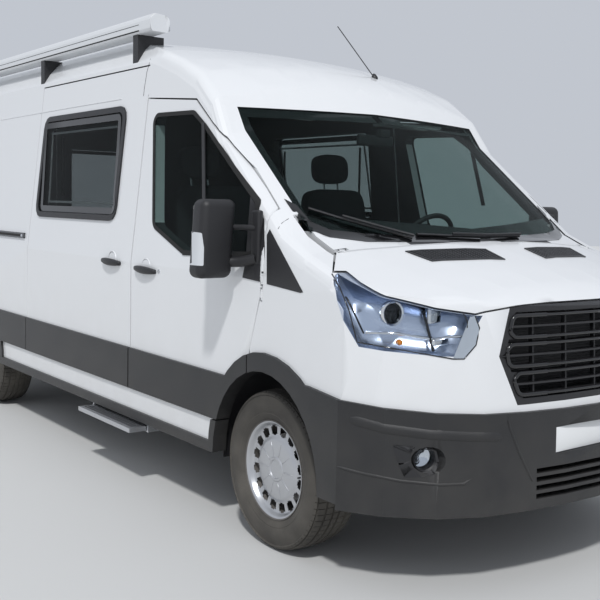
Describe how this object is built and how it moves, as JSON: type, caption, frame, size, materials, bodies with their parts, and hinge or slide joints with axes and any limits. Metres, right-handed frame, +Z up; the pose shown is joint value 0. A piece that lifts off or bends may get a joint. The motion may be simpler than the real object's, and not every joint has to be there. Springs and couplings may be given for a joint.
{
  "type": "camper van",
  "caption": "Long panel van fitted out as a camper, with opening doors and bonnet, steering, rolling wheels, roof awning case and slide-out step.",
  "frame": {"origin": "on the ground under the middle of the van's overall length and width", "axes": "+X forward, +Y to the van's left, +Z up"},
  "size_m": [5.981, 2.48, 2.6177],
  "materials": {
    "body_white": "gloss white paint",
    "trim_grey": "grained dark grey plastic",
    "trim_black": "black plastic",
    "glass_screen": "clear laminated glass",
    "glass_tint": "tinted glass",
    "lamp_clear": "clear lamp lens",
    "lamp_red": "red lamp lens",
    "plate_white": "blank white plate",
    "silver": "silver paint",
    "rim_silver": "silver wheel trim",
    "tyre": "black rubber",
    "steel_dark": "black chassis paint",
    "steel": "bare steel",
    "iron": "cast iron",
    "fabric_grey": "woven seat cloth",
    "dash_dark": "soft dark plastic",
    "wood_pale": "pale laminate",
    "case_grey": "pale grey case"
  },
  "bodies": {
    "van": {"awning": "case_grey", "awning_brackets": "trim_black", "body_left": "body_white", "body_right": "body_white", "bumper_front": "trim_grey", "bumper_rear": "trim_grey", "camper_windows": "glass_tint", "cowl": "body_white", "dashboard": "dash_dark", "door_sliding": "body_white", "engine": "iron", "exhaust": "steel", "floor": "steel_dark", "fog_lamps": "lamp_clear", "front_panel": "body_white", "front_subframe": "steel_dark", "furniture": "wood_pale", "grille": "trim_black", "headlamps": "lamp_clear", "plate_front": "plate_white", "rear_axle": "steel_dark", "rear_frame": "body_white", "roof": "body_white", "roof_front": "body_white", "seats": "fabric_grey", "side_trim": "trim_grey", "step_frame": "silver", "tail_lamps": "lamp_red", "wheelhouses": "trim_black", "window_frames": "trim_black", "windscreen": "glass_screen", "wing_left": "body_white", "wing_right": "body_white", "wipers_antenna": "trim_black"},
    "bonnet": {"bonnet": "body_white"},
    "door_front_right": {"door_front_right": "body_white", "door_glass_right": "glass_screen", "mirror_right": "trim_black", "door_trim_right": "trim_grey"},
    "door_front_left": {"door_front_left": "body_white", "door_glass_left": "glass_screen", "mirror_left": "trim_black", "door_trim_left": "trim_grey"},
    "door_rear_right": {"door_rear_right": "body_white", "rear_glass_right": "glass_tint"},
    "door_rear_left": {"door_rear_left": "body_white", "rear_glass_left": "glass_tint"},
    "knuckle_right": {"knuckle_right": "iron"},
    "knuckle_left": {"knuckle_left": "iron"},
    "steering_wheel": {"steering_wheel": "dash_dark"},
    "wheel_front_right": {"rim_front_right": "rim_silver", "tyre_front_right": "tyre"},
    "wheel_front_left": {"rim_front_left": "rim_silver", "tyre_front_left": "tyre"},
    "wheel_rear_right": {"rim_rear_right": "rim_silver", "tyre_rear_right": "tyre"},
    "wheel_rear_left": {"rim_rear_left": "rim_silver", "tyre_rear_left": "tyre"},
    "step": {"step_tread": "silver"}
  },
  "joints": [
    {"name": "bonnet_hinge", "type": "hinge", "parent": "van", "child": "bonnet", "pos_m": [2.234, 0, 1.338], "axis": [0, -1, 0], "range_deg": [0, 55]},
    {"name": "door_front_right_hinge", "type": "hinge", "parent": "van", "child": "door_front_right", "pos_m": [1.93, -1.01, 1.17], "axis": [0, 0, 1], "range_deg": [0, 68]},
    {"name": "door_front_left_hinge", "type": "hinge", "parent": "van", "child": "door_front_left", "pos_m": [1.93, 1.01, 1.17], "axis": [0, 0, -1], "range_deg": [0, 68]},
    {"name": "door_rear_right_hinge", "type": "hinge", "parent": "van", "child": "door_rear_right", "pos_m": [-2.9685, -0.782, 1.25], "axis": [0, 0, 1], "range_deg": [0, 180]},
    {"name": "door_rear_left_hinge", "type": "hinge", "parent": "van", "child": "door_rear_left", "pos_m": [-2.9685, 0.782, 1.25], "axis": [0, 0, -1], "range_deg": [0, 180]},
    {"name": "steer_left", "type": "hinge", "parent": "van", "child": "knuckle_left", "pos_m": [1.9675, 0.79, 0.235], "axis": [0, -0.1805, 0.9836], "range_deg": [-35, 35]},
    {"name": "steer_right", "type": "hinge", "parent": "van", "child": "knuckle_right", "pos_m": [1.9675, -0.79, 0.235], "axis": [0, 0.1805, 0.9836], "range_deg": [-35, 35]},
    {"name": "steering_column", "type": "hinge", "parent": "van", "child": "steering_wheel", "pos_m": [1.43, 0.44, 1.32], "axis": [-0.866, 0, 0.5], "range_deg": [-560, 560]},
    {"name": "wheel_front_right_spin", "type": "hinge", "parent": "knuckle_right", "child": "wheel_front_right", "pos_m": [1.9675, -0.866, 0.356], "axis": [0, 1, 0], "continuous": true},
    {"name": "wheel_front_left_spin", "type": "hinge", "parent": "knuckle_left", "child": "wheel_front_left", "pos_m": [1.9675, 0.866, 0.356], "axis": [0, 1, 0], "continuous": true},
    {"name": "wheel_rear_right_spin", "type": "hinge", "parent": "van", "child": "wheel_rear_right", "pos_m": [-1.7825, -0.8715, 0.356], "axis": [0, 1, 0], "continuous": true},
    {"name": "wheel_rear_left_spin", "type": "hinge", "parent": "van", "child": "wheel_rear_left", "pos_m": [-1.7825, 0.8715, 0.356], "axis": [0, 1, 0], "continuous": true},
    {"name": "step_slide", "type": "slide", "parent": "van", "child": "step", "axis": [0, -1, 0], "range_m": [0, 0.15]}
  ],
  "couplings": [
    {"joint": "steer_right", "follows": "steer_left", "ratio": 1},
    {"joint": "steering_column", "follows": "steer_left", "ratio": 16}
  ]
}
